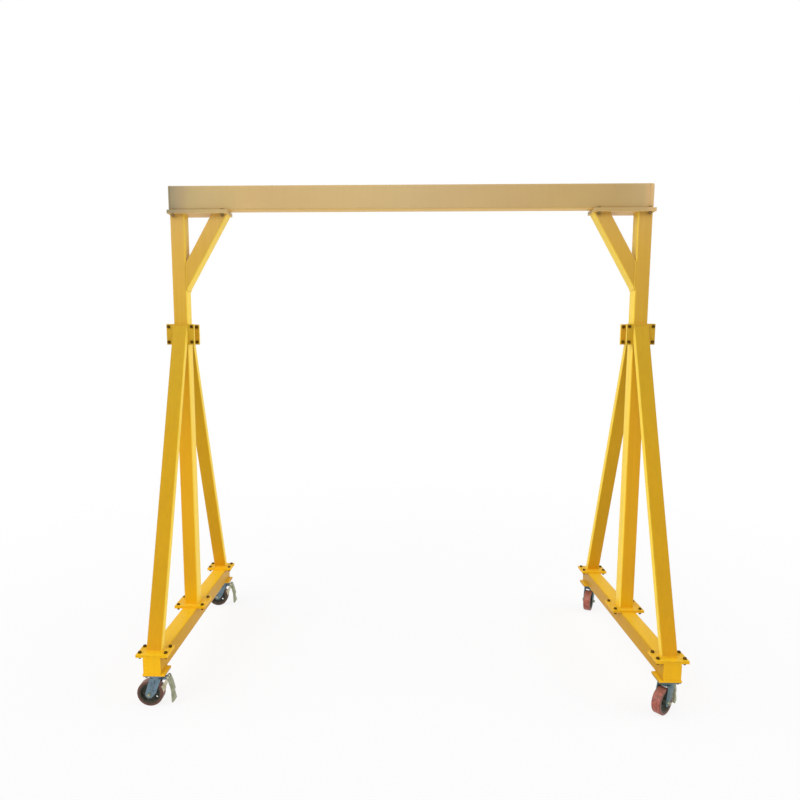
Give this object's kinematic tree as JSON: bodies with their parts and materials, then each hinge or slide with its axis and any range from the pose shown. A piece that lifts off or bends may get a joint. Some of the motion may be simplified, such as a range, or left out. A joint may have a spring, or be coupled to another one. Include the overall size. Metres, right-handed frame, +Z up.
{
  "type": "portable gantry crane",
  "caption": "Portable gantry crane: a steel box beam on braced A-frame towers whose base beams roll on swivel casters with pedal brakes.",
  "frame": {"origin": "on the floor, midway between the towers under the middle of the beam", "axes": "+X along the beam to the right as seen from the front, +Y to the rear, +Z up"},
  "size_m": [3.103, 1.5878, 3.032],
  "materials": {
    "yellow_paint": "semi-gloss yellow enamel on steel, paler and duller toward the beam",
    "zinc": "blue-grey zinc plating on pressed steel",
    "pale_zinc": "pale zinc plating, slightly yellow-green",
    "cast_iron": "green-black painted casting",
    "polyurethane": "brown-red moulded polyurethane tread"
  },
  "bodies": {
    "frame": {"main_beam": "yellow_paint", "beam_cap_left": "yellow_paint", "beam_cap_right": "yellow_paint", "beam_seat_left": "yellow_paint", "column_head_plate_left": "yellow_paint", "column_left": "yellow_paint", "column_foot_plate_left": "yellow_paint", "brace_left": "yellow_paint", "collar_plate_front_left": "yellow_paint", "collar_plate_rear_left": "yellow_paint", "leg_front_left": "yellow_paint", "leg_rear_left": "yellow_paint", "base_beam_left": "yellow_paint", "beam_seat_right": "yellow_paint", "column_head_plate_right": "yellow_paint", "column_right": "yellow_paint", "column_foot_plate_right": "yellow_paint", "brace_right": "yellow_paint", "collar_plate_front_right": "yellow_paint", "collar_plate_rear_right": "yellow_paint", "leg_front_right": "yellow_paint", "leg_rear_right": "yellow_paint", "base_beam_right": "yellow_paint", "caster_front_left_top_plate": "zinc", "caster_front_left_kingpin": "zinc", "caster_rear_left_top_plate": "zinc", "caster_rear_left_kingpin": "zinc", "caster_front_right_top_plate": "zinc", "caster_front_right_kingpin": "zinc", "caster_rear_right_top_plate": "zinc", "caster_rear_right_kingpin": "zinc"},
    "swivel_front_left": {"caster_front_left_fork": "zinc", "caster_front_left_axle": "pale_zinc", "caster_front_left_brake_pin": "pale_zinc"},
    "wheel_front_left": {"caster_front_left_wheel_core": "cast_iron", "caster_front_left_wheel_tread": "polyurethane"},
    "pedal_front_left": {"caster_front_left_brake_pedal": "pale_zinc"},
    "shoe_front_left": {"caster_front_left_brake_shoe": "pale_zinc"},
    "swivel_rear_left": {"caster_rear_left_fork": "zinc", "caster_rear_left_axle": "pale_zinc", "caster_rear_left_brake_pin": "pale_zinc"},
    "wheel_rear_left": {"caster_rear_left_wheel_core": "cast_iron", "caster_rear_left_wheel_tread": "polyurethane"},
    "pedal_rear_left": {"caster_rear_left_brake_pedal": "pale_zinc"},
    "shoe_rear_left": {"caster_rear_left_brake_shoe": "pale_zinc"},
    "swivel_front_right": {"caster_front_right_fork": "zinc", "caster_front_right_axle": "pale_zinc", "caster_front_right_brake_pin": "pale_zinc"},
    "wheel_front_right": {"caster_front_right_wheel_core": "cast_iron", "caster_front_right_wheel_tread": "polyurethane"},
    "pedal_front_right": {"caster_front_right_brake_pedal": "pale_zinc"},
    "shoe_front_right": {"caster_front_right_brake_shoe": "pale_zinc"},
    "swivel_rear_right": {"caster_rear_right_fork": "zinc", "caster_rear_right_axle": "pale_zinc", "caster_rear_right_brake_pin": "pale_zinc"},
    "wheel_rear_right": {"caster_rear_right_wheel_core": "cast_iron", "caster_rear_right_wheel_tread": "polyurethane"},
    "pedal_rear_right": {"caster_rear_right_brake_pedal": "pale_zinc"},
    "shoe_rear_right": {"caster_rear_right_brake_shoe": "pale_zinc"}
  },
  "joints": [
    {"name": "swivel_front_left", "type": "hinge", "parent": "frame", "child": "swivel_front_left", "pos_m": [-1.441, -0.7, 0.17], "axis": [0, 0, 1], "continuous": true},
    {"name": "wheel_spin_front_left", "type": "hinge", "parent": "swivel_front_left", "child": "wheel_front_left", "pos_m": [-1.478, -0.7, 0.075], "axis": [0, -1, 0], "continuous": true},
    {"name": "brake_pedal_front_left", "type": "hinge", "parent": "swivel_front_left", "child": "pedal_front_left", "pos_m": [-1.375, -0.7, 0.17], "axis": [0, -1, 0], "range_deg": [0, 55]},
    {"name": "brake_shoe_front_left", "type": "hinge", "parent": "swivel_front_left", "child": "shoe_front_left", "pos_m": [-1.375, -0.7, 0.17], "axis": [0, -1, 0], "range_deg": [0, 8.8]},
    {"name": "swivel_rear_left", "type": "hinge", "parent": "frame", "child": "swivel_rear_left", "pos_m": [-1.441, 0.7, 0.17], "axis": [0, 0, 1], "continuous": true},
    {"name": "wheel_spin_rear_left", "type": "hinge", "parent": "swivel_rear_left", "child": "wheel_rear_left", "pos_m": [-1.478, 0.7, 0.075], "axis": [0, -1, 0], "continuous": true},
    {"name": "brake_pedal_rear_left", "type": "hinge", "parent": "swivel_rear_left", "child": "pedal_rear_left", "pos_m": [-1.375, 0.7, 0.17], "axis": [0, -1, 0], "range_deg": [0, 55]},
    {"name": "brake_shoe_rear_left", "type": "hinge", "parent": "swivel_rear_left", "child": "shoe_rear_left", "pos_m": [-1.375, 0.7, 0.17], "axis": [0, -1, 0], "range_deg": [0, 8.8]},
    {"name": "swivel_front_right", "type": "hinge", "parent": "frame", "child": "swivel_front_right", "pos_m": [1.441, -0.7, 0.17], "axis": [0, 0, 1], "continuous": true},
    {"name": "wheel_spin_front_right", "type": "hinge", "parent": "swivel_front_right", "child": "wheel_front_right", "pos_m": [1.41287, -0.72403, 0.075], "axis": [0.6494, -0.7604, 0], "continuous": true},
    {"name": "brake_pedal_front_right", "type": "hinge", "parent": "swivel_front_right", "child": "pedal_front_right", "pos_m": [1.49119, -0.65714, 0.17], "axis": [0.6494, -0.7604, 0], "range_deg": [0, 55]},
    {"name": "brake_shoe_front_right", "type": "hinge", "parent": "swivel_front_right", "child": "shoe_front_right", "pos_m": [1.49119, -0.65714, 0.17], "axis": [0.6494, -0.7604, 0], "range_deg": [0, 8.8]},
    {"name": "swivel_rear_right", "type": "hinge", "parent": "frame", "child": "swivel_rear_right", "pos_m": [1.441, 0.7, 0.17], "axis": [0, 0, 1], "continuous": true},
    {"name": "wheel_spin_rear_right", "type": "hinge", "parent": "swivel_rear_right", "child": "wheel_rear_right", "pos_m": [1.42363, 0.66733, 0.075], "axis": [0.8829, -0.4695, 0], "continuous": true},
    {"name": "brake_pedal_rear_right", "type": "hinge", "parent": "swivel_rear_right", "child": "pedal_rear_right", "pos_m": [1.47199, 0.75828, 0.17], "axis": [0.8829, -0.4695, 0], "range_deg": [0, 55]},
    {"name": "brake_shoe_rear_right", "type": "hinge", "parent": "swivel_rear_right", "child": "shoe_rear_right", "pos_m": [1.47199, 0.75828, 0.17], "axis": [0.8829, -0.4695, 0], "range_deg": [0, 8.8]}
  ],
  "couplings": [
    {"joint": "brake_shoe_front_left", "follows": "brake_pedal_front_left", "ratio": 0.16},
    {"joint": "brake_shoe_rear_left", "follows": "brake_pedal_rear_left", "ratio": 0.16},
    {"joint": "brake_shoe_front_right", "follows": "brake_pedal_front_right", "ratio": 0.16},
    {"joint": "brake_shoe_rear_right", "follows": "brake_pedal_rear_right", "ratio": 0.16}
  ]
}
